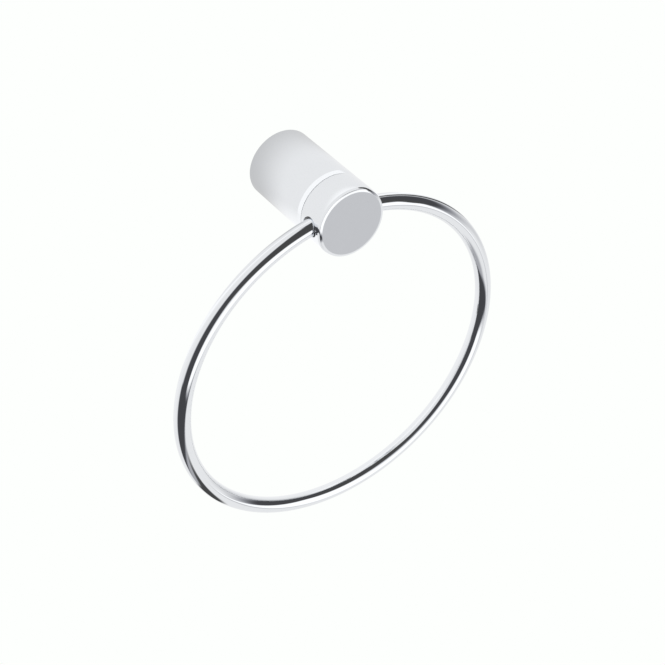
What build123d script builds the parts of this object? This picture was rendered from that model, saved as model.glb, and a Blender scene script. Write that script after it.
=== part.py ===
from build123d import *
import math
import os

# Wall-mounted towel ring: a round post in two lengths, with a bent rod ring that swings in the front one.
# Origin: on the post's axis, in the plane of the wall. X runs along the wall to the right, Y runs into
# the wall and Z runs up. Sizes are in millimetres, and depths are measured out from the wall.

# Post
post_diameter = 34.0
edge_break = 0.3

# Rear sleeve, a cup that is open towards the wall
sleeve_length = 42.8
sleeve_wall = 2.9
sleeve_front_wall = 4.0
sleeve_bevel_length = 2.4
sleeve_bevel_width = 0.35
spigot_height = 1.5
spigot_clearance = 0.15

# Ring holder, a cup that is open towards the sleeve
shadow_gap = 0.4
neck_setback = 0.4
holder_length = 14.8
holder_wall = 3.8
holder_face_wall = 2.8
outer_bevel_length = 1.2
outer_bevel_width = 0.4
inner_bevel_length = 0.3
inner_bevel_width = 1.1
boss_diameter = 8.4
boss_gap = 0.3
hole_mouth_bevel = 0.4

# Ring
ring_outer_diameter = 180.0
rod_diameter = 8.0
rod_hole_clearance = 0.25
rod_front_clearance = 1.2
rod_end_gap = 0.6
rod_end_bevel = 0.6

# Joining screw, from inside the sleeve into the holder's boss
screw_diameter = 5.0
screw_length = 14.0
screw_head_diameter = 8.5
screw_head_height = 5.0
screw_socket_width = 4.0
screw_socket_depth = 2.5
screw_tip_bevel = 0.5
screw_tip_clearance = 0.8
screw_hole_clearance = 0.25
thread_clearance = 0.05

# Wall bracket, a shallow cup inside the sleeve
bracket_length = 16.0
bracket_wall = 2.6
bracket_floor = 3.0
bracket_clearance = 0.2
wall_hole_diameter = 4.5
wall_hole_spacing = 13.0
groove_depth = 1.1
groove_from_wall = 9.0

# Grub screw, from below through the sleeve into the bracket's groove
grub_diameter = 4.0
grub_recess = 0.2
grub_tip_diameter = 0.6
grub_socket_width = 2.0
grub_socket_depth = 1.6
grub_seat_clearance = 0.05

# How far a cutting tool runs past the face that it cuts
overrun = 1.0

# Radii about the post's axis
post_radius = post_diameter / 2
sleeve_bore_radius = post_radius - sleeve_wall
cavity_radius = post_radius - holder_wall
neck_radius = post_radius - sleeve_bevel_width - neck_setback
spigot_radius = cavity_radius - spigot_clearance
boss_radius = boss_diameter / 2
bracket_radius = sleeve_bore_radius - bracket_clearance

# Radii of the rods, screws and holes
rod_radius = rod_diameter / 2
screw_radius = screw_diameter / 2
screw_hole_radius = screw_radius + screw_hole_clearance
tapped_radius = screw_radius + thread_clearance
grub_radius = grub_diameter / 2
grub_hole_radius = grub_radius + thread_clearance

# Places along the post, as depths out from the wall
sleeve_floor = sleeve_length - sleeve_front_wall
spigot_face = sleeve_length + spigot_height
boss_end = spigot_face + boss_gap
holder_shoulder = sleeve_length + shadow_gap
front_face = holder_shoulder + holder_length
cavity_end = front_face - holder_face_wall
ring_depth = cavity_end - rod_front_clearance - rod_radius
screw_tip = sleeve_floor + screw_length

# Ring: its line meets the level of the post's axis halfway through the holder's wall, where it turns
ring_radius = ring_outer_diameter / 2 - rod_radius
pivot_radius = post_radius - holder_wall / 2
ring_drop = math.sqrt(ring_radius**2 - pivot_radius**2)
rod_end_start = boss_radius + rod_end_gap
rod_end_angle = math.asin((rod_end_start + rod_end_bevel) / (ring_radius - rod_radius))

# The rod goes through the holder's wall at a slope, so its hole allows for the rise and the longer cut
rod_slope = math.asin(post_radius / ring_radius)
rod_rise_inside = math.sqrt(ring_radius**2 - cavity_radius**2) - ring_drop
rod_fall_outside = ring_drop - math.sqrt(ring_radius**2 - post_radius**2)
rod_offset = max(rod_rise_inside, rod_fall_outside)
rod_hole_radius = rod_radius / math.cos(rod_slope) + rod_offset + rod_hole_clearance

# The ring's coned tips stand on the ends of its bend
tip_align = (Align.CENTER, Align.CENTER, Align.MIN)

# Drawing plane of the turned pieces: radius upwards, depth out from the wall
post_section = Plane(origin=(0, 0, 0), x_dir=(0, 0, 1), z_dir=(1, 0, 0))


def turned(outline, section):
    """Solid turned about the section's second axis, from points (radius, place along the axis)."""
    face = section * make_face(Polyline(*outline, close=True))
    return revolve(face, Axis(section.origin, section.y_dir), 360)


def along_post(shape, start, end, across=0.0):
    """Flat shape drawn out along the post between two depths, at a distance across from the axis."""
    plane = Plane(origin=(across, -start, 0), x_dir=(1, 0, 0), z_dir=(0, -1, 0))
    return extrude(plane * shape, end - start)


def away_from_axis(shape, depth, direction, start, end):
    """Flat shape drawn out square to the post at one depth, between two distances from the axis."""
    outwards = Vector(*direction)
    plane = Plane(origin=Vector(0, -depth, 0) + outwards * start, x_dir=(0, 1, 0), z_dir=outwards)
    return extrude(plane * shape, end - start)


def hexagon(width):
    """Hexagon by its width across flats."""
    return RegularPolygon(width / 2, 6, major_radius=False)


def make_rear_sleeve():
    outline = [
        (post_radius - edge_break, 0),
        (post_radius, edge_break),
        (post_radius, sleeve_length - sleeve_bevel_length),
        (post_radius - sleeve_bevel_width, sleeve_length),
        (spigot_radius, sleeve_length),
        (spigot_radius, spigot_face - edge_break),
        (spigot_radius - edge_break, spigot_face),
        (screw_hole_radius, spigot_face),
        (screw_hole_radius, sleeve_floor),
        (sleeve_bore_radius, sleeve_floor),
        (sleeve_bore_radius, edge_break),
        (sleeve_bore_radius + edge_break, 0),
    ]
    hole_start = sleeve_bore_radius - overrun
    hole_end = post_radius + overrun
    grub_hole = away_from_axis(Circle(grub_hole_radius), groove_from_wall, (0, 0, -1), hole_start, hole_end)
    return turned(outline, post_section) - grub_hole


def make_ring_holder():
    outer_bevel_radius = post_radius - outer_bevel_width
    outer_bevel_end = front_face - inner_bevel_length
    tapped_end = screw_tip + screw_tip_clearance
    outline = [
        (cavity_radius, sleeve_length),
        (neck_radius, sleeve_length),
        (neck_radius, holder_shoulder),
        (post_radius - edge_break, holder_shoulder),
        (post_radius, holder_shoulder + edge_break),
        (post_radius, outer_bevel_end - outer_bevel_length),
        (outer_bevel_radius, outer_bevel_end),
        (outer_bevel_radius - inner_bevel_width, front_face),
        (0, front_face),
        (0, tapped_end),
        (tapped_radius, tapped_end),
        (tapped_radius, boss_end),
        (boss_radius, boss_end),
        (boss_radius, cavity_end),
        (cavity_radius, cavity_end),
    ]
    holder = turned(outline, post_section)
    hole_end = post_radius + overrun
    holder -= away_from_axis(Circle(rod_hole_radius), ring_depth, (-1, 0, 0), rod_end_start, hole_end)
    holder -= away_from_axis(Circle(rod_hole_radius), ring_depth, (1, 0, 0), rod_end_start, hole_end)
    mouths = [edge for edge in holder.edges() if abs(edge.center(CenterOf.BOUNDING_BOX).X) > pivot_radius]
    return chamfer(mouths, hole_mouth_bevel)


def make_towel_ring():
    centre = Vector(0, -ring_depth, -ring_drop)
    outwards = Vector(math.sin(rod_end_angle), 0, math.cos(rod_end_angle))
    onwards = Vector(math.cos(rod_end_angle), 0, -math.sin(rod_end_angle))
    end_plane = Plane(origin=centre + outwards * ring_radius, x_dir=outwards, z_dir=onwards)
    bend_angle = 360 - 2 * math.degrees(rod_end_angle)
    ring = revolve(end_plane * Circle(rod_radius), Axis(centre, (0, 1, 0)), bend_angle)
    tip_plane = Plane(origin=end_plane.origin, x_dir=outwards, z_dir=-onwards)
    tip_shape = Cone(rod_radius, rod_radius - rod_end_bevel, rod_end_bevel, align=tip_align)
    right_tip = tip_plane * tip_shape
    left_tip = mirror(right_tip, about=Plane.YZ)
    return ring + right_tip + left_tip


def make_joining_screw():
    head_radius = screw_head_diameter / 2
    head_start = sleeve_floor - screw_head_height
    outline = [
        (0, head_start),
        (head_radius - edge_break, head_start),
        (head_radius, head_start + edge_break),
        (head_radius, sleeve_floor),
        (screw_radius, sleeve_floor),
        (screw_radius, screw_tip - screw_tip_bevel),
        (screw_radius - screw_tip_bevel, screw_tip),
        (0, screw_tip),
    ]
    socket = along_post(hexagon(screw_socket_width), head_start - overrun, head_start + screw_socket_depth)
    return turned(outline, post_section) - socket


def make_wall_bracket():
    inner_radius = bracket_radius - bracket_wall
    outline = [
        (0, 0),
        (bracket_radius, 0),
        (bracket_radius, groove_from_wall - groove_depth),
        (bracket_radius - groove_depth, groove_from_wall),
        (bracket_radius, groove_from_wall + groove_depth),
        (bracket_radius, bracket_length - edge_break),
        (bracket_radius - edge_break, bracket_length),
        (inner_radius, bracket_length),
        (inner_radius, bracket_floor),
        (0, bracket_floor),
    ]
    hole = Circle(wall_hole_diameter / 2)
    hole_end = bracket_floor + overrun
    bracket = turned(outline, post_section)
    bracket -= along_post(hole, -overrun, hole_end, -wall_hole_spacing / 2)
    bracket -= along_post(hole, -overrun, hole_end, wall_hole_spacing / 2)
    return bracket


def make_grub_screw():
    outer_end = post_radius - grub_recess
    cone_point = bracket_radius - groove_depth + grub_seat_clearance
    tip_radius = grub_tip_diameter / 2
    outline = [
        (0, cone_point + tip_radius),
        (tip_radius, cone_point + tip_radius),
        (grub_radius, cone_point + grub_radius),
        (grub_radius, outer_end - edge_break),
        (grub_radius - edge_break, outer_end),
        (0, outer_end),
    ]
    grub_section = Plane(origin=(0, -groove_from_wall, 0), x_dir=(1, 0, 0), z_dir=(0, 1, 0))
    socket_end = outer_end - grub_socket_depth
    socket_start = outer_end + overrun
    socket_shape = hexagon(grub_socket_width)
    socket = away_from_axis(socket_shape, groove_from_wall, (0, 0, -1), socket_end, socket_start)
    return turned(outline, grub_section) - socket


pieces = {
    "rear_sleeve": make_rear_sleeve(),
    "ring_holder": make_ring_holder(),
    "towel_ring": make_towel_ring(),
    "joining_screw": make_joining_screw(),
    "wall_bracket": make_wall_bracket(),
    "grub_screw": make_grub_screw(),
}

os.makedirs("parts", exist_ok=True)
for name, piece in pieces.items():
    export_step(piece, f"parts/{name}.step")
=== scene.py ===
import math

import bpy
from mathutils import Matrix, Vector


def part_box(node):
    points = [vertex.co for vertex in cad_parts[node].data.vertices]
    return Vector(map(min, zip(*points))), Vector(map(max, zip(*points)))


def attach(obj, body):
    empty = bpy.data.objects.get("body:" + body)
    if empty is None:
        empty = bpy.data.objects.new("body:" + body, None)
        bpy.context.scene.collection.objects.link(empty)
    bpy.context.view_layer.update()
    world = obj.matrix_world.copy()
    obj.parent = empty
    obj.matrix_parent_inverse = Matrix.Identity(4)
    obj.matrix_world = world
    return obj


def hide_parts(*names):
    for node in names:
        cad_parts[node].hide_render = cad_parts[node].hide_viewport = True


# Chrome towel ring on a round wall post, in metres. X runs along the wall, Y into it and Z up. Depths
# are measured out from the wall along the post.
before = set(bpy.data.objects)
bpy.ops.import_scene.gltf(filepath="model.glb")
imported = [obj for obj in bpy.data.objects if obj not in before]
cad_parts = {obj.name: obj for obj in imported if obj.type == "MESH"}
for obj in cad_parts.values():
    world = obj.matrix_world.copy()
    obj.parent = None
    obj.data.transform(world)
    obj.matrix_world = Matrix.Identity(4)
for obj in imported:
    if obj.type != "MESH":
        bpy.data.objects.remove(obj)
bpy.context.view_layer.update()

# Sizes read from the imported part
holder_low, holder_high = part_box("ring_holder")
sleeve_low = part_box("rear_sleeve")[0]
bracket_low, bracket_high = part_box("wall_bracket")
ring_low, ring_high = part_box("towel_ring")
grub_low, grub_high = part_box("grub_screw")
post_radius = holder_high.x
front_face = -holder_low.y
sleeve_length = -holder_high.y
spigot_face = -sleeve_low.y
bracket_radius = bracket_high.x
bracket_length = -bracket_low.y
ring_outer_radius = ring_high.x
rod_radius = (ring_high.y - ring_low.y) / 2
ring_depth = -(ring_high.y + ring_low.y) / 2
ring_centre_height = ring_low.z + ring_outer_radius
grub_radius = grub_high.x
grub_depth = -(grub_high.y + grub_low.y) / 2
grub_outer_end = -grub_low.z
grub_inner_end = -grub_high.z

# Post
edge_break = 0.0003
sleeve_wall = 0.0029
sleeve_front_wall = 0.004
sleeve_bevel_length = 0.0024
sleeve_bevel_width = 0.00035
shadow_gap = 0.0004
neck_setback = 0.0004
spigot_clearance = 0.00015
screw_hole_radius = 0.00275
grub_hole_radius = 0.00205
holder_wall = 0.0038
holder_face_wall = 0.0028
boss_radius = 0.0042
boss_gap = 0.0003
tapped_radius = 0.00255
tapped_hole_cover = 0.0044
outer_bevel_length = 0.0012
outer_bevel_width = 0.0004
inner_bevel_length = 0.0003
inner_bevel_width = 0.0011
rod_hole_radius = 0.00469
hole_mouth_round = 0.0004
hole_start = 0.008

sleeve_bore_radius = post_radius - sleeve_wall
sleeve_floor = sleeve_length - sleeve_front_wall
holder_shoulder = sleeve_length + shadow_gap
neck_radius = post_radius - sleeve_bevel_width - neck_setback
cavity_radius = post_radius - holder_wall
cavity_end = front_face - holder_face_wall
spigot_radius = cavity_radius - spigot_clearance
boss_end = spigot_face + boss_gap
tapped_end = front_face - tapped_hole_cover

# Ring
rod_end_angle = 0.06591
rod_end_bevel = 0.0006

# Bracket and grub screw
bracket_wall = 0.0026
bracket_floor = 0.003
wall_hole_radius = 0.00225
wall_hole_spacing = 0.013
groove_depth = 0.0011
groove_from_wall = 0.009
grub_tip_radius = 0.0003
grub_socket_width = 0.002
grub_socket_depth = 0.0016

# Fineness of the round meshes
points_round_post = 256
points_round_rod = 64
steps_round_ring = 360
steps_round_mouth = 4

# Edges that buffing rounds, and smooth shading of the rest
edge_softening = 0.00004
softening_steps = 3
softened_angle = math.radians(8)
smooth_angle = math.radians(35)
large_face_weight = 80

# Distances at which points become one, when a piece is turned and after a cut
merge_distance = 0.000002
joining_distance = 0.0000001

# How far a drill runs past what it cuts, and past the post's side at a rounded mouth
overrun = 0.001
mouth_overrun = 0.000006
mouth_flare = 2 * hole_mouth_round
mouth_lift = 0.1 * hole_mouth_round

towards_room = Vector((0, -1, 0))
downwards = Vector((0, 0, -1))
quarter_turn = math.radians(90)


def select_only(piece):
    """Makes one piece the only selected object, and the active one."""
    bpy.ops.object.select_all(action="DESELECT")
    piece.select_set(True)
    bpy.context.view_layer.objects.active = piece


def turned(name, outline, origin, direction, solid_core):
    """Piece turned about an axis, from points (radius, distance from the origin along the axis)."""
    bpy.ops.object.select_all(action="DESELECT")
    radius, distance = outline[0]
    fill = "NGON" if solid_core else "NOTHING"
    turn = direction.to_track_quat("Z", "Y").to_euler()
    bpy.ops.mesh.primitive_circle_add(
        vertices=points_round_post,
        radius=radius,
        fill_type=fill,
        location=origin + direction * distance,
        rotation=turn,
    )
    piece = bpy.context.object
    piece.name = name
    bpy.ops.object.transform_apply(location=True, rotation=True, scale=True)
    bpy.ops.object.mode_set(mode="EDIT")
    bpy.ops.mesh.select_all(action="SELECT")
    for next_radius, next_distance in outline[1:]:
        step = direction * (next_distance - distance)
        bpy.ops.mesh.extrude_region_move(TRANSFORM_OT_translate={"value": step})
        growth = next_radius / radius
        stretch = [1 if part else growth for part in direction]
        bpy.ops.transform.resize(value=stretch, center_override=origin + direction * next_distance)
        radius = next_radius
        distance = next_distance
    bpy.ops.mesh.select_all(action="SELECT")
    bpy.ops.mesh.remove_doubles(threshold=merge_distance)
    bpy.ops.mesh.normals_make_consistent(inside=False)
    bpy.ops.object.mode_set(mode="OBJECT")
    return piece


def apply_modifier(piece, kind, settings):
    """Adds one modifier with its settings and applies it."""
    select_only(piece)
    modifier = piece.modifiers.new(kind.lower(), kind)
    for setting, value in settings.items():
        setattr(modifier, setting, value)
    bpy.ops.object.modifier_apply(modifier=modifier.name)


def soften_edges(piece):
    """Rounds the turned edges as buffing does."""
    settings = {
        "width": edge_softening,
        "segments": softening_steps,
        "limit_method": "ANGLE",
        "angle_limit": softened_angle,
        "use_clamp_overlap": True,
    }
    apply_modifier(piece, "BEVEL", settings)


def cut(piece, cutter):
    """Takes the cutter's shape out of the piece, and joins the points that fall together."""
    apply_modifier(piece, "BOOLEAN", {"operation": "DIFFERENCE", "solver": "EXACT", "object": cutter})
    bpy.data.objects.remove(cutter)
    select_only(piece)
    bpy.ops.object.mode_set(mode="EDIT")
    bpy.ops.mesh.select_all(action="SELECT")
    bpy.ops.mesh.remove_doubles(threshold=joining_distance)
    bpy.ops.mesh.dissolve_degenerate(threshold=joining_distance)
    bpy.ops.object.mode_set(mode="OBJECT")


def smooth(piece):
    """Smooth shading that leaves the large faces true."""
    select_only(piece)
    bpy.ops.object.shade_smooth_by_angle(angle=smooth_angle)
    apply_modifier(piece, "WEIGHTED_NORMAL", {"weight": large_face_weight, "keep_sharp": True})


def rod_hole_cutter(side):
    """Drill for one cross hole, with a rounded mouth that follows the post's round side."""
    outline = [(rod_hole_radius, hole_start)]
    for step in range(steps_round_mouth + 1):
        turn = quarter_turn * step / steps_round_mouth
        radius = rod_hole_radius + hole_mouth_round * (1 - math.cos(turn))
        reach = post_radius + mouth_overrun - hole_mouth_round * (1 - math.sin(turn))
        outline.append((radius, reach))
    outline.append((rod_hole_radius + mouth_flare, post_radius + mouth_lift))
    outline.append((rod_hole_radius + mouth_flare, post_radius + overrun))
    axis_point = Vector((0, -ring_depth, 0))
    cutter = turned("rod_hole_drill", outline, axis_point, Vector((side, 0, 0)), True)
    for vertex in cutter.data.vertices:
        if abs(vertex.co.x) > hole_start + overrun:
            post_curve = post_radius - math.sqrt(post_radius**2 - vertex.co.z**2)
            vertex.co.x -= side * post_curve
    return cutter


def make_rear_sleeve():
    """Rear length of the post, open towards the wall, with a spigot in front and the grub screw's hole."""
    outline = [
        (post_radius - edge_break, 0),
        (post_radius, edge_break),
        (post_radius, sleeve_length - sleeve_bevel_length),
        (post_radius - sleeve_bevel_width, sleeve_length),
        (spigot_radius, sleeve_length),
        (spigot_radius, spigot_face - edge_break),
        (spigot_radius - edge_break, spigot_face),
        (screw_hole_radius, spigot_face),
        (screw_hole_radius, sleeve_floor),
        (sleeve_bore_radius, sleeve_floor),
        (sleeve_bore_radius, edge_break),
        (sleeve_bore_radius + edge_break, 0),
        (post_radius - edge_break, 0),
    ]
    sleeve = turned("rear_sleeve_chrome", outline, Vector(), towards_room, False)
    soften_edges(sleeve)
    hole_outline = [
        (grub_hole_radius, sleeve_bore_radius - overrun),
        (grub_hole_radius, post_radius + overrun),
    ]
    axis_point = Vector((0, -groove_from_wall, 0))
    cut(sleeve, turned("grub_hole_drill", hole_outline, axis_point, downwards, True))
    smooth(sleeve)
    return sleeve


def make_ring_holder():
    """Front length of the post, hollow behind its face, with a boss for a screw and two cross holes."""
    bevel_end = front_face - inner_bevel_length
    bevel_radius = post_radius - outer_bevel_width
    outline = [
        (tapped_radius, tapped_end),
        (tapped_radius, boss_end),
        (boss_radius, boss_end),
        (boss_radius, cavity_end),
        (cavity_radius, cavity_end),
        (cavity_radius, sleeve_length),
        (neck_radius, sleeve_length),
        (neck_radius, holder_shoulder),
        (post_radius - edge_break, holder_shoulder),
        (post_radius, holder_shoulder + edge_break),
        (post_radius, bevel_end - outer_bevel_length),
        (bevel_radius, bevel_end),
        (bevel_radius - inner_bevel_width, front_face),
    ]
    holder = turned("ring_holder_chrome", outline, Vector(), towards_room, True)
    soften_edges(holder)
    cut(holder, rod_hole_cutter(-1))
    cut(holder, rod_hole_cutter(1))
    smooth(holder)
    return holder


def make_towel_ring():
    """Round rod bent to a circle, with a coned tip on each end."""
    bpy.ops.object.select_all(action="DESELECT")
    centre = Vector((0, -ring_depth, ring_centre_height))
    outwards = Vector((math.sin(rod_end_angle), 0, math.cos(rod_end_angle)))
    onwards = Vector((math.cos(rod_end_angle), 0, -math.sin(rod_end_angle)))
    backwards = Vector((onwards.x, 0, -onwards.z))
    right_end = centre + outwards * (ring_outer_radius - rod_radius)
    left_end = Vector((-right_end.x, right_end.y, right_end.z))
    left_tip = left_end + backwards * rod_end_bevel
    tip_growth = rod_radius / (rod_radius - rod_end_bevel)
    bpy.ops.mesh.primitive_circle_add(
        vertices=points_round_rod,
        radius=rod_radius - rod_end_bevel,
        fill_type="NGON",
        location=right_end - onwards * rod_end_bevel,
        rotation=(0, quarter_turn + rod_end_angle, 0),
    )
    ring = bpy.context.object
    ring.name = "towel_ring_chrome"
    bpy.ops.object.transform_apply(location=True, rotation=True, scale=True)
    bpy.ops.object.mode_set(mode="EDIT")
    bpy.ops.mesh.select_all(action="SELECT")
    bpy.ops.mesh.extrude_region_move(TRANSFORM_OT_translate={"value": onwards * rod_end_bevel})
    bpy.ops.transform.resize(value=(tip_growth,) * 3, center_override=right_end)
    bpy.ops.mesh.delete(type="ONLY_FACE")
    bpy.ops.mesh.select_non_manifold()
    bpy.ops.mesh.spin(
        steps=steps_round_ring,
        angle=math.radians(360) - 2 * rod_end_angle,
        center=centre,
        axis=(0, 1, 0),
    )
    bpy.ops.mesh.select_all(action="DESELECT")
    bpy.ops.mesh.select_non_manifold()
    bpy.ops.mesh.extrude_region_move(TRANSFORM_OT_translate={"value": backwards * rod_end_bevel})
    bpy.ops.transform.resize(value=(1 / tip_growth,) * 3, center_override=left_tip)
    bpy.ops.mesh.edge_face_add()
    bpy.ops.mesh.select_all(action="SELECT")
    bpy.ops.mesh.remove_doubles(threshold=merge_distance)
    bpy.ops.mesh.normals_make_consistent(inside=False)
    bpy.ops.object.mode_set(mode="OBJECT")
    smooth(ring)
    return ring


def make_wall_bracket():
    """Shallow cup with a groove round it and two holes for the wall's screws."""
    inner_radius = bracket_radius - bracket_wall
    outline = [
        (inner_radius, bracket_floor),
        (inner_radius, bracket_length),
        (bracket_radius - edge_break, bracket_length),
        (bracket_radius, bracket_length - edge_break),
        (bracket_radius, groove_from_wall + groove_depth),
        (bracket_radius - groove_depth, groove_from_wall),
        (bracket_radius, groove_from_wall - groove_depth),
        (bracket_radius, 0),
    ]
    bracket = turned("wall_bracket_turned", outline, Vector(), towards_room, True)
    soften_edges(bracket)
    hole_outline = [(wall_hole_radius, -overrun), (wall_hole_radius, bracket_floor + overrun)]
    for side in (-1, 1):
        axis_point = Vector((side * wall_hole_spacing / 2, 0, 0))
        cut(bracket, turned("wall_hole_drill", hole_outline, axis_point, towards_room, True))
    smooth(bracket)
    return bracket


def make_grub_screw():
    """Short screw with a coned tip and a hexagon socket."""
    outline = [
        (grub_tip_radius, grub_inner_end),
        (grub_radius, grub_inner_end + grub_radius - grub_tip_radius),
        (grub_radius, grub_outer_end - edge_break),
        (grub_radius - edge_break, grub_outer_end),
    ]
    axis_point = Vector((0, -grub_depth, 0))
    grub = turned("grub_screw_steel", outline, axis_point, downwards, True)
    soften_edges(grub)
    bpy.ops.object.select_all(action="DESELECT")
    bpy.ops.mesh.primitive_cylinder_add(
        vertices=6,
        radius=grub_socket_width / math.sqrt(3),
        depth=2 * grub_socket_depth,
        location=axis_point + downwards * grub_outer_end,
    )
    cut(grub, bpy.context.object)
    smooth(grub)
    return grub


def connect(tree, value, socket):
    """Links a node's output to a socket, or sets the socket to a plain value."""
    if isinstance(value, bpy.types.NodeSocket):
        tree.links.new(value, socket)
    else:
        socket.default_value = value


def maths(tree, operation, first, second=0.0):
    """Result of one Math node."""
    node = tree.nodes.new("ShaderNodeMath")
    node.operation = operation
    connect(tree, first, node.inputs[0])
    connect(tree, second, node.inputs[1])
    return node.outputs["Value"]


def soft_step(tree, value, edge):
    """0 on one side of an edge and 1 on the other. The edge is a pair: the last 0 and the first 1."""
    none_at, full_at = edge
    node = tree.nodes.new("ShaderNodeMapRange")
    node.interpolation_type = "SMOOTHSTEP"
    connect(tree, value, node.inputs["Value"])
    node.inputs["From Min"].default_value = none_at
    node.inputs["From Max"].default_value = full_at
    return node.outputs["Result"]


def all_of(tree, *masks):
    """Mask that is 1 only where every mask is."""
    result = masks[0]
    for mask in masks[1:]:
        result = maths(tree, "MULTIPLY", result, mask)
    return result


def sloped(tree, value, other, slope):
    """Distance of a value from a straight edge that slopes with another value."""
    return maths(tree, "SUBTRACT", value, maths(tree, "MULTIPLY", other, slope))


def blend_level(tree, below, above, mask):
    """Number that goes from one value to another by a mask."""
    node = tree.nodes.new("ShaderNodeMix")
    connect(tree, mask, node.inputs["Factor"])
    connect(tree, below, node.inputs["A"])
    connect(tree, above, node.inputs["B"])
    return node.outputs["Result"]


def blend_colour(tree, first, second, mask):
    """Colour that goes from one to another by a mask."""
    node = tree.nodes.new("ShaderNodeMix")
    node.data_type = "RGBA"
    connect(tree, mask, node.inputs["Factor"])
    connect(tree, first, node.inputs["A"])
    connect(tree, second, node.inputs["B"])
    return node.outputs["Result"]


def show_to_camera(tree, for_light, for_camera):
    """Shader that the camera sees as one thing and all other light as another."""
    rays = tree.nodes.new("ShaderNodeLightPath")
    choice = tree.nodes.new("ShaderNodeMixShader")
    tree.links.new(rays.outputs["Is Camera Ray"], choice.inputs["Fac"])
    tree.links.new(for_light, choice.inputs[1])
    tree.links.new(for_camera, choice.inputs[2])
    return choice.outputs["Shader"]


# Light levels round the object, where 1 is white
background_white = (0.984, 1.0, 0.984, 1.0)
tent_side_level = 0.9
tent_back_level = 0.97
tent_right_level = 0.7
panel_level = 1.18
opening_level = 0.068
face_side_level = 0.63
lower_side_level = 0.45
# The wall card's glow, with painted shade at the post's foot and painted light on the lit arc and below
wall_level_at_post = 0.62
wall_level_away = 0.91
wall_level_lit = 1.09
wall_level_below = 1.05
white = (1, 1, 1, 1)
cool_grey = (0.95, 0.96, 1.04, 1)

# Directions in the studio are degrees to the right of straight out from the wall, and degrees up.
# Dark opening, an arch whose edge is a share of its width and height
opening_middle = 20
opening_right_width = 77
opening_left_width = 107.5
opening_sill = -17.7
opening_sill_slope = 0.28
opening_height = 94
opening_roundness = 2.7
opening_edge = (1.23, 0.8)
opening_floor = (-27, -21)

# Lower left corner of the opening
corner_left_edge = (-98, -84)
corner_left_slope = 0.06
corner_right_edge = (65, 55)
corner_lower_edge = (-45.7, -39.7)
corner_lower_slope = 0.273
corner_upper_edge = (-9, -15)

# Straight edge of the tent that cuts off the lower right corner of the opening
cut_edge = (-60, -35)
cut_slope = 0.55
cut_left_end = (51, 47)

# Bright panel, with its lower edge in shares of its distance from the object
panel_left_edge = (-27, -20)
panel_left_slope = 0.2
panel_right_edge = (50, 45)
panel_lower_edge = (-0.763, -0.603)
panel_lower_slope = -0.268
panel_upper_edge = (42, 38)
panel_corner_edge = (44, -4)
panel_corner_slope = 0.9

# Shaded part of the tent below the opening
lower_side_right_edge = (8, -32)
lower_side_lower_edge = (-82, -73)
lower_side_upper_edge = (-33, -41)
lower_side_upper_slope = 0.268

# Part of the tent that the post's face mirrors
face_side_left_edge = (28, 31)
face_side_right_edge = (41, 38)
face_side_lower_edge = (-41, -38)
face_side_upper_edge = (-30, -33)

# Brighter back of the tent
back_side_edge = (105, 140)
back_lower_edge = (-55, -30)
back_upper_edge = (75, 50)

# Shaded right side of the tent
right_side_front_edge = (50, 80)
right_side_back_edge = (120, 90)
right_side_lower_edge = (-35, -15)
right_side_upper_edge = (50, 30)


def opening_mask(tree, across, up):
    """Dark opening that the camera looks through."""
    from_middle = maths(tree, "SUBTRACT", across, opening_middle)
    right_share = maths(tree, "DIVIDE", from_middle, opening_right_width)
    left_share = maths(tree, "DIVIDE", from_middle, -opening_left_width)
    side_share = maths(tree, "MAXIMUM", right_share, left_share)
    from_sill = maths(tree, "SUBTRACT", sloped(tree, up, across, opening_sill_slope), opening_sill)
    top_share = maths(tree, "MAXIMUM", maths(tree, "DIVIDE", from_sill, opening_height), 0)
    side_bend = maths(tree, "POWER", side_share, opening_roundness)
    top_bend = maths(tree, "POWER", top_share, opening_roundness)
    share = maths(tree, "ADD", side_bend, top_bend)
    arch = all_of(tree, soft_step(tree, share, opening_edge), soft_step(tree, up, opening_floor))
    corner = all_of(
        tree,
        soft_step(tree, sloped(tree, across, up, corner_left_slope), corner_left_edge),
        soft_step(tree, across, corner_right_edge),
        soft_step(tree, sloped(tree, up, across, corner_lower_slope), corner_lower_edge),
        soft_step(tree, up, corner_upper_edge),
    )
    above_cut = soft_step(tree, sloped(tree, up, across, cut_slope), cut_edge)
    left_of_cut = soft_step(tree, across, cut_left_end)
    whole = maths(tree, "MAXIMUM", arch, corner)
    left_by_cut = maths(tree, "MAXIMUM", above_cut, left_of_cut)
    return all_of(tree, whole, left_by_cut)


def panel_mask(tree, across, up, direction):
    """Bright panel in the opening, whose lower edge leans and whose upper left corner is cut off."""
    to_room = maths(tree, "MULTIPLY", direction["Y"], -1)
    across_share = maths(tree, "DIVIDE", direction["X"], to_room)
    up_share = maths(tree, "DIVIDE", direction["Z"], to_room)
    return all_of(
        tree,
        soft_step(tree, sloped(tree, across, up, panel_left_slope), panel_left_edge),
        soft_step(tree, across, panel_right_edge),
        soft_step(tree, sloped(tree, up_share, across_share, panel_lower_slope), panel_lower_edge),
        soft_step(tree, up, panel_upper_edge),
        soft_step(tree, sloped(tree, up, across, panel_corner_slope), panel_corner_edge),
    )


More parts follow.
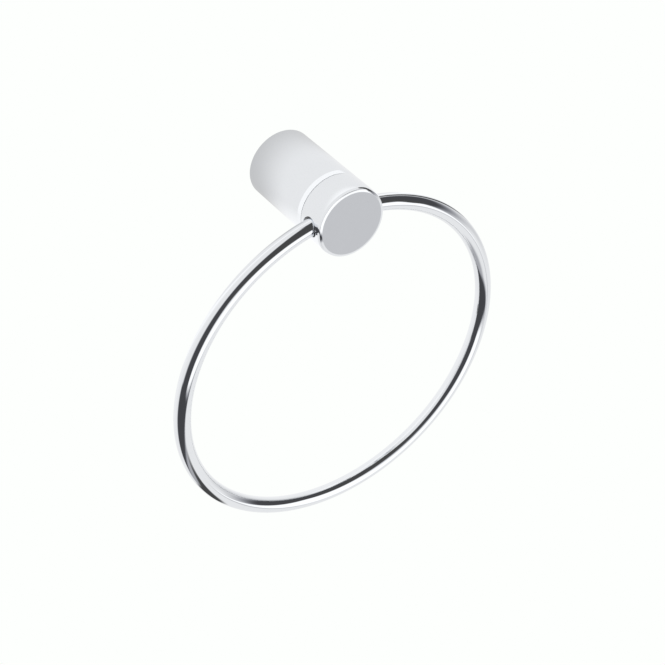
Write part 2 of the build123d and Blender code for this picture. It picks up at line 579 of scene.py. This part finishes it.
def studio_level(tree, direction):
    """Light level of the tent, its opening and the panel, in each direction from the object."""
    to_room = maths(tree, "MULTIPLY", direction["Y"], -1)
    across = maths(tree, "DEGREES", maths(tree, "ARCTAN2", direction["X"], to_room))
    up = maths(tree, "DEGREES", maths(tree, "ARCSINE", direction["Z"]))
    back = all_of(
        tree,
        soft_step(tree, maths(tree, "ABSOLUTE", across), back_side_edge),
        soft_step(tree, up, back_lower_edge),
        soft_step(tree, up, back_upper_edge),
    )
    right_side = all_of(
        tree,
        soft_step(tree, across, right_side_front_edge),
        soft_step(tree, across, right_side_back_edge),
        soft_step(tree, up, right_side_lower_edge),
        soft_step(tree, up, right_side_upper_edge),
    )
    lower_side = all_of(
        tree,
        soft_step(tree, across, lower_side_right_edge),
        soft_step(tree, up, lower_side_lower_edge),
        soft_step(tree, sloped(tree, up, across, lower_side_upper_slope), lower_side_upper_edge),
    )
    face_side = all_of(
        tree,
        soft_step(tree, across, face_side_left_edge),
        soft_step(tree, across, face_side_right_edge),
        soft_step(tree, up, face_side_lower_edge),
        soft_step(tree, up, face_side_upper_edge),
    )
    level = blend_level(tree, tent_side_level, tent_back_level, back)
    level = blend_level(tree, level, tent_right_level, right_side)
    level = blend_level(tree, level, lower_side_level, lower_side)
    level = blend_level(tree, level, opening_level, opening_mask(tree, across, up))
    level = blend_level(tree, level, panel_level, panel_mask(tree, across, up, direction))
    return blend_level(tree, level, face_side_level, face_side)


def light_studio():
    """Light tent that lights the object and shows in the metal, with a white background for the camera."""
    world = bpy.data.worlds.new("studio")
    bpy.context.scene.world = world
    world.use_nodes = True
    tree = world.node_tree
    tree.nodes.clear()
    place = tree.nodes.new("ShaderNodeTexCoord")
    parts = tree.nodes.new("ShaderNodeSeparateXYZ")
    tree.links.new(place.outputs["Generated"], parts.inputs["Vector"])
    level = studio_level(tree, parts.outputs)
    lightness = soft_step(tree, level, (opening_level, tent_side_level))
    around = tree.nodes.new("ShaderNodeBackground")
    tree.links.new(level, around.inputs["Strength"])
    tree.links.new(blend_colour(tree, cool_grey, white, lightness), around.inputs["Color"])
    behind = tree.nodes.new("ShaderNodeBackground")
    behind.inputs["Color"].default_value = background_white
    shown = show_to_camera(tree, around.outputs["Background"], behind.outputs["Background"])
    output = tree.nodes.new("ShaderNodeOutputWorld")
    tree.links.new(shown, output.inputs["Surface"])


# How the studio's flat pieces are turned
facing_wall = (quarter_turn, 0, 0)
facing_sideways = (0, quarter_turn, 0)
lying_flat = (0, 0, 0)


def add_plane(name, location, rotation, size):
    """Flat rectangle of the studio, which isn't part of the object."""
    bpy.ops.object.select_all(action="DESELECT")
    bpy.ops.mesh.primitive_plane_add(size=1, location=location, rotation=rotation)
    plane = bpy.context.object
    plane.name = name
    plane.scale = (size[0], size[1], 1)
    bpy.ops.object.transform_apply(location=True, rotation=True, scale=True)
    return plane


def start_card_material(name):
    """Empty material for a card, with the places X, Y and Z on it in metres."""
    material = bpy.data.materials.new(name)
    material.use_nodes = True
    tree = material.node_tree
    tree.nodes.clear()
    place = tree.nodes.new("ShaderNodeTexCoord")
    parts = tree.nodes.new("ShaderNodeSeparateXYZ")
    tree.links.new(place.outputs["Object"], parts.inputs["Vector"])
    return material, tree, parts.outputs


def finish_card(card, material, tree, level, mask):
    """Card that glows at a light level and fades out by a mask, and that only reflections show."""
    glow = tree.nodes.new("ShaderNodeEmission")
    connect(tree, level, glow.inputs["Strength"])
    clear = tree.nodes.new("ShaderNodeBsdfTransparent")
    choice = tree.nodes.new("ShaderNodeMixShader")
    tree.links.new(mask, choice.inputs["Fac"])
    tree.links.new(clear.outputs["BSDF"], choice.inputs[1])
    tree.links.new(glow.outputs["Emission"], choice.inputs[2])
    output = tree.nodes.new("ShaderNodeOutputMaterial")
    tree.links.new(choice.outputs["Shader"], output.inputs["Surface"])
    card.data.materials.append(material)
    card.visible_camera = False
    card.visible_diffuse = False
    card.visible_transmission = False
    card.visible_shadow = False


def hang_front_flag():
    """Dark flag in front, which hides the top of the bright panel."""
    middle = (0.115, -0.357, 0.195)
    size = (0.77, 0.45)
    lower_edge = (0, 0.057)
    lower_slope = -0.065
    card = add_plane("front_flag", middle, facing_wall, size)
    material, tree, place = start_card_material("front_flag_cloth")
    mask = soft_step(tree, sloped(tree, place["Z"], place["X"], lower_slope), lower_edge)
    finish_card(card, material, tree, opening_level, mask)


def hang_right_flag():
    """Dark flag in front on the right, which hides the side of the bright panel."""
    middle = (0.43, -0.396, 0.02)
    size = (0.18, 0.29)
    left_edge = (0.345, 0.372)
    lower_edge = (-0.115, -0.075)
    upper_edge = (0.16, 0.12)
    card = add_plane("right_flag", middle, facing_wall, size)
    material, tree, place = start_card_material("right_flag_cloth")
    mask = all_of(
        tree,
        soft_step(tree, place["X"], left_edge),
        soft_step(tree, place["Z"], lower_edge),
        soft_step(tree, place["Z"], upper_edge),
    )
    finish_card(card, material, tree, opening_level, mask)


def hang_top_flag():
    """Dark flag overhead, which the bottom of the ring mirrors."""
    middle = (0, -0.26, 0.213)
    size = (0.4, 0.4)
    wall_edge = (-0.07, -0.12)
    left_edge = (-0.04, -0.1)
    left_slope = 1.04
    right_edge = (0.19, 0.14)
    card = add_plane("top_flag", middle, lying_flat, size)
    material, tree, place = start_card_material("top_flag_cloth")
    mask = all_of(
        tree,
        soft_step(tree, place["Y"], wall_edge),
        soft_step(tree, sloped(tree, place["Y"], place["X"], left_slope), left_edge),
        soft_step(tree, place["X"], right_edge),
    )
    finish_card(card, material, tree, opening_level, mask)


def hang_side_strip():
    """Dark strip on the right, a painted shadow that only reflections show, which the ring's upper right
    and the post's front edge mirror.
    """
    middle = (0.075, -0.031, 0.024)
    size = (0.115, 0.05)
    room_edge = (-0.0465, -0.0425)
    room_slope = 0.13
    lower_wall_edge = (-0.02, -0.026)
    lower_wall_slope = 0.83
    upper_wall_edge = (-0.031, -0.036)
    upper_wall_slope = 0.25
    upper_edge = (0.078, 0.066)
    card = add_plane("side_strip", middle, facing_sideways, size)
    material, tree, place = start_card_material("side_strip_painted_shadow")
    mask = all_of(
        tree,
        soft_step(tree, sloped(tree, place["Y"], place["Z"], room_slope), room_edge),
        soft_step(tree, sloped(tree, place["Y"], place["Z"], lower_wall_slope), lower_wall_edge),
        soft_step(tree, sloped(tree, place["Y"], place["Z"], upper_wall_slope), upper_wall_edge),
        soft_step(tree, place["Z"], upper_edge),
    )
    finish_card(card, material, tree, opening_level, mask)


def lay_lower_strip():
    """Dark strip below the ring, a painted shadow that only reflections show, which the ring's lower left
    mirrors.
    """
    middle = (-0.087, -0.09, -0.2)
    size = (0.1, 0.18)
    side_slope = 0.156
    left_edge = (-0.1, -0.09)
    right_edge = (-0.058, -0.068)
    room_edge = (-0.169, -0.099)
    wall_edge = (-0.014, -0.026)
    card = add_plane("lower_strip", middle, lying_flat, size)
    material, tree, place = start_card_material("lower_strip_painted_shadow")
    across = sloped(tree, place["X"], place["Y"], side_slope)
    mask = all_of(
        tree,
        soft_step(tree, across, left_edge),
        soft_step(tree, across, right_edge),
        soft_step(tree, place["Y"], room_edge),
        soft_step(tree, place["Y"], wall_edge),
    )
    finish_card(card, material, tree, opening_level, mask)


def hang_wall_card():
    """Wall round the post's foot, with the post's shadow and lit patches painted into its glow, which the
    sleeve mirrors.
    """
    middle = (0, 0.0005, -0.04)
    size = (0.26, 0.34)
    shade_across = -0.003
    shade_up = -0.003
    shade_edge = (0.0135, 0.044)
    lit_inner_edge = (0.075, 0.08)
    lit_outer_edge = (0.118, 0.11)
    lit_lower_edge = (-0.085, -0.07)
    lit_right_edge = (0.115, 0.1)
    below_upper_edge = (-0.012, -0.05)
    below_outer_edge = (0.125, 0.09)
    below_right_edge = (0.06, 0.02)
    near_edge = (0.1, 0.08)
    card = add_plane("wall_card", middle, facing_wall, size)
    material, tree, place = start_card_material("wall_card_painted_shade_and_light")
    across = maths(tree, "SUBTRACT", place["X"], shade_across)
    up = maths(tree, "SUBTRACT", place["Z"], shade_up)
    squares = maths(tree, "ADD", maths(tree, "MULTIPLY", across, across), maths(tree, "MULTIPLY", up, up))
    from_shade = maths(tree, "SQRT", squares)
    lit = all_of(
        tree,
        soft_step(tree, from_shade, lit_inner_edge),
        soft_step(tree, from_shade, lit_outer_edge),
        soft_step(tree, place["Z"], lit_lower_edge),
        soft_step(tree, place["X"], lit_right_edge),
    )
    below = all_of(
        tree,
        soft_step(tree, place["Z"], below_upper_edge),
        soft_step(tree, from_shade, below_outer_edge),
        soft_step(tree, place["X"], below_right_edge),
    )
    near = soft_step(tree, from_shade, near_edge)
    # Painted shade and light: the glow is darkest at the post's foot, lighter away from it, and brightest
    # on the lit arc and below
    out_of_shade = soft_step(tree, from_shade, shade_edge)
    level = blend_level(tree, wall_level_at_post, wall_level_away, out_of_shade)
    level = blend_level(tree, level, wall_level_lit, lit)
    level = blend_level(tree, level, wall_level_below, below)
    shown = maths(tree, "MAXIMUM", near, maths(tree, "MAXIMUM", lit, below))
    finish_card(card, material, tree, level, shown)


def lay_floor():
    """Plain pale floor, far enough below for the object to hang free of it."""
    middle = (0, 0, -1.1)
    size = (8, 8)
    pale_grey = (0.85, 0.86, 0.85, 1)
    floor = add_plane("floor", middle, lying_flat, size)
    material = bpy.data.materials.new("pale_floor")
    material.use_nodes = True
    tree = material.node_tree
    tree.nodes.clear()
    paint = tree.nodes.new("ShaderNodeBsdfDiffuse")
    paint.inputs["Color"].default_value = pale_grey
    glow = tree.nodes.new("ShaderNodeEmission")
    glow.inputs["Color"].default_value = background_white
    shown = show_to_camera(tree, paint.outputs["BSDF"], glow.outputs["Emission"])
    output = tree.nodes.new("ShaderNodeOutputMaterial")
    tree.links.new(shown, output.inputs["Surface"])
    floor.data.materials.append(material)
    floor.visible_glossy = False


# Colours of the metals, between which they vary from place to place
chrome_light = (0.866, 0.884, 0.908, 1)
chrome_dark = (0.85, 0.868, 0.892, 1)
bare_light = (0.88, 0.87, 0.86, 1)
bare_dark = (0.78, 0.77, 0.76, 1)
steel_light = (0.66, 0.66, 0.65, 1)
steel_dark = (0.57, 0.57, 0.56, 1)
bracket_light = (0.62, 0.63, 0.64, 1)
bracket_dark = (0.53, 0.54, 0.55, 1)

# Roughness of the metals, from the smoothest places to the roughest
chrome_roughness_range = (0.035, 0.065)
bare_roughness_range = (0.45, 0.65)
steel_roughness_range = (0.22, 0.38)
bracket_roughness_range = (0.26, 0.42)

# Patterns on the metals, each a noise scale and its detail
buffing_clouds = (120, 3)
buffing_haze = (350, 3)
bare_mottle = (900, 4)
bare_grain = (1500, 4)
steel_speckle = (1600, 4)
steel_haze = (900, 4)
steel_pits = (4000, 2)
bracket_mottle = (300, 4)

# Relief of the metals, each a strength and a height
steel_pit_relief = (0.15, 0.00005)
turning_relief = (0.3, 0.00003)

# Lines of turning on the bracket
turning_spacing = 0.00035
turning_waver = 1.5
turning_detail = 2

# Bare metal under the post's plate, which starts this far in from the side, the face and the wall end
plated_metallic = 1.0
bare_metallic = 0.15
bare_from_side = (post_radius - 0.0006, post_radius - 0.0009)
bare_from_face = (front_face - 0.0005, front_face - 0.0008)
bare_from_wall_end = (0.0003, 0.0006)


def new_material(name):
    """Material with a Principled shader, and its node tree."""
    material = bpy.data.materials.new(name)
    material.use_nodes = True
    tree = material.node_tree
    return material, tree, tree.nodes["Principled BSDF"]


def object_noise(tree, pattern):
    """Noise on the piece's own coordinates."""
    scale, detail = pattern
    place = tree.nodes.new("ShaderNodeTexCoord")
    noise = tree.nodes.new("ShaderNodeTexNoise")
    noise.inputs["Scale"].default_value = scale
    noise.inputs["Detail"].default_value = detail
    tree.links.new(place.outputs["Object"], noise.inputs["Vector"])
    return noise.outputs["Fac"]


def spread(tree, value, between):
    """Value from 0 to 1 spread between two others."""
    low, high = between
    node = tree.nodes.new("ShaderNodeMapRange")
    connect(tree, value, node.inputs["Value"])
    node.inputs["To Min"].default_value = low
    node.inputs["To Max"].default_value = high
    return node.outputs["Result"]


def add_bump(tree, shader, height, relief):
    """Fine relief on a surface."""
    strength, distance = relief
    bump = tree.nodes.new("ShaderNodeBump")
    bump.inputs["Strength"].default_value = strength
    bump.inputs["Distance"].default_value = distance
    tree.links.new(height, bump.inputs["Height"])
    tree.links.new(bump.outputs["Normal"], shader.inputs["Normal"])


def distance_from_post_axis(tree):
    """Radius from the post's axis and depth out from the wall, in metres."""
    place = tree.nodes.new("ShaderNodeTexCoord")
    parts = tree.nodes.new("ShaderNodeSeparateXYZ")
    tree.links.new(place.outputs["Object"], parts.inputs["Vector"])
    across = maths(tree, "MULTIPLY", parts.outputs["X"], parts.outputs["X"])
    up = maths(tree, "MULTIPLY", parts.outputs["Z"], parts.outputs["Z"])
    radius = maths(tree, "SQRT", maths(tree, "ADD", across, up))
    depth = maths(tree, "MULTIPLY", parts.outputs["Y"], -1)
    return radius, depth


def turning_lines(tree):
    """Fine rings round the post's axis, as a lathe leaves them."""
    place = tree.nodes.new("ShaderNodeTexCoord")
    wave = tree.nodes.new("ShaderNodeTexWave")
    wave.wave_type = "RINGS"
    wave.rings_direction = "Y"
    # At a scale of 1 the rings are a tenth of pi apart
    wave.inputs["Scale"].default_value = math.pi / (10 * turning_spacing)
    wave.inputs["Distortion"].default_value = turning_waver
    wave.inputs["Detail"].default_value = turning_detail
    tree.links.new(place.outputs["Object"], wave.inputs["Vector"])
    return wave.outputs["Fac"]


def chrome_tone(tree):
    """Chrome plate's colour, a little uneven where it was buffed."""
    return blend_colour(tree, chrome_dark, chrome_light, object_noise(tree, buffing_clouds))


def chrome_roughness(tree):
    """Chrome plate's roughness, which buffing leaves faintly hazy."""
    return spread(tree, object_noise(tree, buffing_haze), chrome_roughness_range)


def make_chrome():
    """Bright chrome plate, with the faint unevenness that buffing leaves."""
    material, tree, shader = new_material("polished_chrome_plate")
    shader.inputs["Metallic"].default_value = 1
    tree.links.new(chrome_tone(tree), shader.inputs["Base Color"])
    tree.links.new(chrome_roughness(tree), shader.inputs["Roughness"])
    return material


def make_post_chrome():
    """The same plate outside, over dull bare metal that shows in the holes and the bore."""
    material, tree, shader = new_material("post_chrome_plate")
    radius, depth = distance_from_post_axis(tree)
    inside = all_of(
        tree,
        soft_step(tree, radius, bare_from_side),
        soft_step(tree, depth, bare_from_face),
        soft_step(tree, depth, bare_from_wall_end),
    )
    metallic = blend_level(tree, plated_metallic, bare_metallic, inside)
    tree.links.new(metallic, shader.inputs["Metallic"])
    bare_tone = blend_colour(tree, bare_dark, bare_light, object_noise(tree, bare_mottle))
    tone = blend_colour(tree, chrome_tone(tree), bare_tone, inside)
    tree.links.new(tone, shader.inputs["Base Color"])
    bare_roughness = spread(tree, object_noise(tree, bare_grain), bare_roughness_range)
    roughness = blend_level(tree, chrome_roughness(tree), bare_roughness, inside)
    tree.links.new(roughness, shader.inputs["Roughness"])
    return material


def make_screw_steel():
    """Plain satin steel, speckled by its drawing and heat treatment."""
    material, tree, shader = new_material("satin_screw_steel")
    shader.inputs["Metallic"].default_value = 1
    tone = blend_colour(tree, steel_dark, steel_light, object_noise(tree, steel_speckle))
    tree.links.new(tone, shader.inputs["Base Color"])
    roughness = spread(tree, object_noise(tree, steel_haze), steel_roughness_range)
    tree.links.new(roughness, shader.inputs["Roughness"])
    add_bump(tree, shader, object_noise(tree, steel_pits), steel_pit_relief)
    return material


def make_bracket_metal():
    """Unpolished bright metal with the lines of its turning."""
    material, tree, shader = new_material("turned_bracket_metal")
    shader.inputs["Metallic"].default_value = 1
    lines = turning_lines(tree)
    tone = blend_colour(tree, bracket_dark, bracket_light, object_noise(tree, bracket_mottle))
    tree.links.new(tone, shader.inputs["Base Color"])
    tree.links.new(spread(tree, lines, bracket_roughness_range), shader.inputs["Roughness"])
    add_bump(tree, shader, lines, turning_relief)
    return material


def set_material(piece, material):
    """Gives a piece one material, in place of any that it has."""
    piece.data.materials.clear()
    piece.data.materials.append(material)


# Camera, with its lens and sensor in millimetres
camera_place = (-0.2764, -0.4567, 0.3437)
camera_down = 39.88
camera_right = 33.73
camera_lens = 73.9
camera_sensor = 36
camera_near_limit = 0.01


def place_camera():
    """Camera at the photograph's viewing angle."""
    turn = (math.radians(90 - camera_down), 0, math.radians(-camera_right))
    bpy.ops.object.camera_add(location=camera_place, rotation=turn)
    camera = bpy.context.object
    camera.name = "camera"
    camera.data.lens = camera_lens
    camera.data.sensor_width = camera_sensor
    camera.data.clip_start = camera_near_limit
    bpy.context.scene.camera = camera


chrome = make_chrome()
post_chrome = make_post_chrome()
screw_steel = make_screw_steel()
bracket_metal = make_bracket_metal()

sleeve = make_rear_sleeve()
set_material(sleeve, post_chrome)
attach(sleeve, "post")
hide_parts("rear_sleeve")

holder = make_ring_holder()
set_material(holder, post_chrome)
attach(holder, "post")
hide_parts("ring_holder")

ring = make_towel_ring()
set_material(ring, chrome)
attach(ring, "ring")
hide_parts("towel_ring")

bracket = make_wall_bracket()
set_material(bracket, bracket_metal)
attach(bracket, "post")
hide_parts("wall_bracket")

grub = make_grub_screw()
set_material(grub, screw_steel)
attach(grub, "post")
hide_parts("grub_screw")

set_material(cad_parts["joining_screw"], screw_steel)

light_studio()
hang_front_flag()
hang_right_flag()
hang_top_flag()
hang_side_strip()
lay_lower_strip()
hang_wall_card()
lay_floor()
place_camera()
bpy.context.scene.view_settings.view_transform = "Standard"
